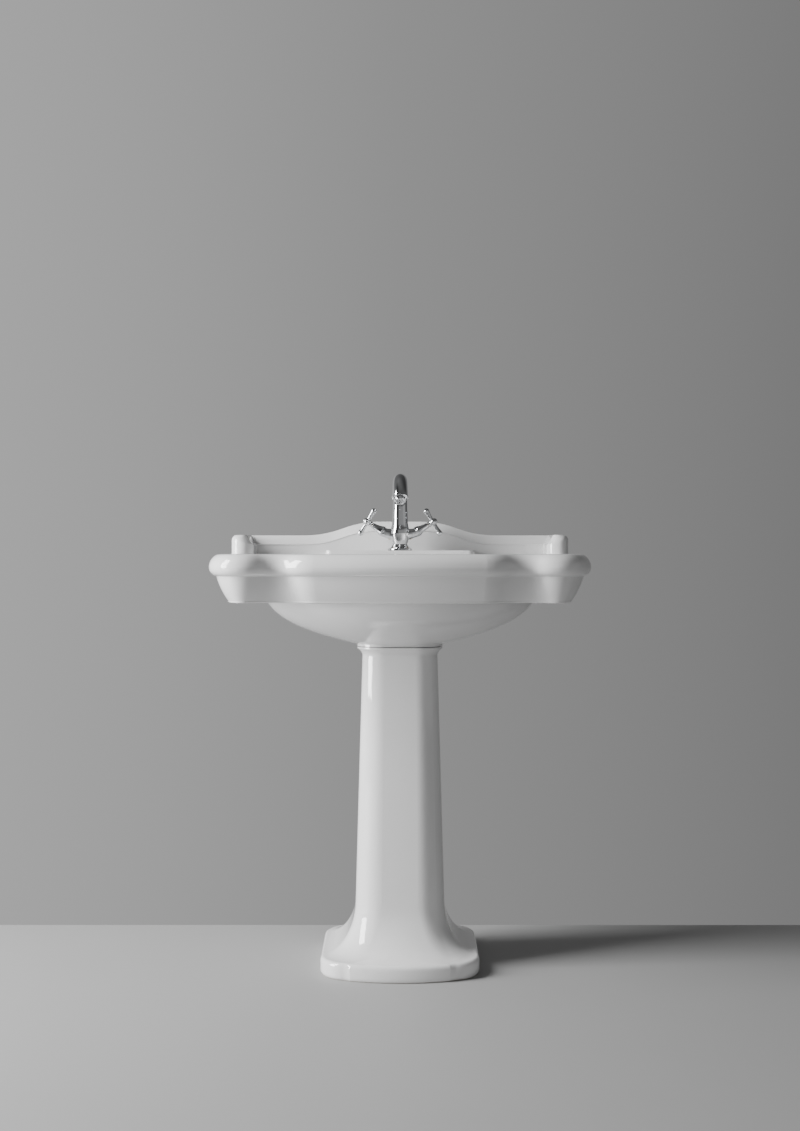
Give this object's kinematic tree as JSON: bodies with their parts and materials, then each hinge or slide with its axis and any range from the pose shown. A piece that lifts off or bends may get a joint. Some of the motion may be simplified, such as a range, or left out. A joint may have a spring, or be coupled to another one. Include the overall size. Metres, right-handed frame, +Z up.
{
  "type": "pedestal washbasin with mixer",
  "caption": "Traditional pedestal washbasin with a rolled, serpentine rim and low upstand, a one-hole mixer with cross handles, push waste and bottle trap.",
  "frame": {"origin": "on the floor, under the middle of the whole object's width and depth", "axes": "+X to the right seen from the front, +Y towards the wall behind, +Z up"},
  "size_m": [0.76, 0.57, 1.0242],
  "materials": {
    "china": "gloss",
    "chrome": "polished",
    "rubber": "matte",
    "brass": "satin",
    "steel": "satin",
    "plastic": "satin"
  },
  "bodies": {
    "base": {"basin": "china", "pedestal": "china", "waste_flange": "chrome", "trap_inlet": "chrome", "trap_inlet_nut": "chrome", "trap_body": "chrome", "trap_cup": "chrome", "outlet_pipe": "chrome", "outlet_nut": "chrome", "wall_rosette": "chrome", "overflow_ring": "chrome", "mixer_body": "chrome", "aerator_ring": "chrome", "hot_bonnet": "chrome", "cold_bonnet": "chrome", "seat_gasket": "rubber", "waste_seal": "rubber", "waste_under_gasket": "rubber", "trap_inlet_seal": "rubber", "trap_cup_seal": "rubber", "outlet_seal": "rubber", "mixer_base_seal": "rubber", "clamp_rubber": "rubber", "waste_backnut": "brass", "plug_cartridge": "brass", "hot_cartridge": "brass", "cold_cartridge": "brass", "fixing_nut": "brass", "waste_washer": "steel", "fixing_stud": "steel", "clamp_plate": "steel", "aerator_insert": "plastic"},
    "hot_valve": {"hot_spindle": "brass", "hot_handle": "chrome", "hot_handle_screw": "steel", "hot_cap": "chrome"},
    "cold_valve": {"cold_spindle": "brass", "cold_handle": "chrome", "cold_handle_screw": "steel", "cold_cap": "chrome"},
    "plug": {"waste_plug": "chrome", "plug_seal": "rubber"}
  },
  "joints": [
    {"name": "hot_turn", "type": "hinge", "parent": "base", "child": "hot_valve", "pos_m": [-0.07286, 0.141, 0.91978], "axis": [-0.8572, 0, 0.515], "range_deg": [0, 90]},
    {"name": "cold_turn", "type": "hinge", "parent": "base", "child": "cold_valve", "pos_m": [0.07286, 0.141, 0.91978], "axis": [0.8572, 0, 0.515], "range_deg": [0, 90]},
    {"name": "plug_push", "type": "slide", "parent": "base", "child": "plug", "axis": [0, 0, -1], "range_m": [0, 0.0068]}
  ]
}
